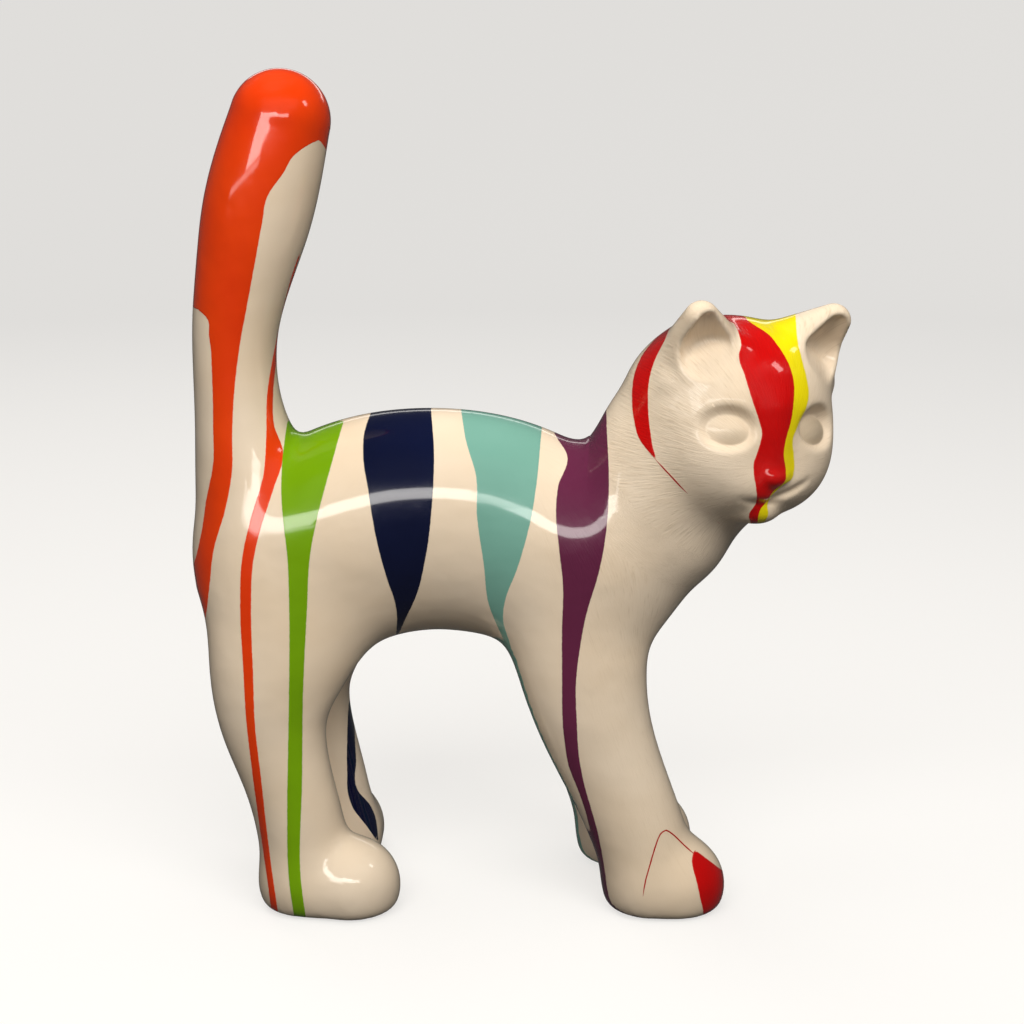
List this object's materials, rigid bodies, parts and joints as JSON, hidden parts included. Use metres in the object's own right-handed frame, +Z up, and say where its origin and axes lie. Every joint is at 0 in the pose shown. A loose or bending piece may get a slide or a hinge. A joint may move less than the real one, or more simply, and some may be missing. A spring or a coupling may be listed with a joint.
{
  "type": "resin cat sculpture",
  "caption": "Glossy cast cat standing on straight legs with its tail held up and its head turned, painted with drips of colour",
  "frame": {"origin": "on the surface that the cat stands on, below the middle of its box", "axes": "+Z up, +X towards the front of the cat, +Y towards its left side"},
  "size_m": [0.3464, 0.1376, 0.446],
  "materials": {
    "cat": "cream lacquered resin with painted runs of colour, high gloss"
  },
  "bodies": {
    "root": {"cat": "cat"}
  },
  "joints": []
}
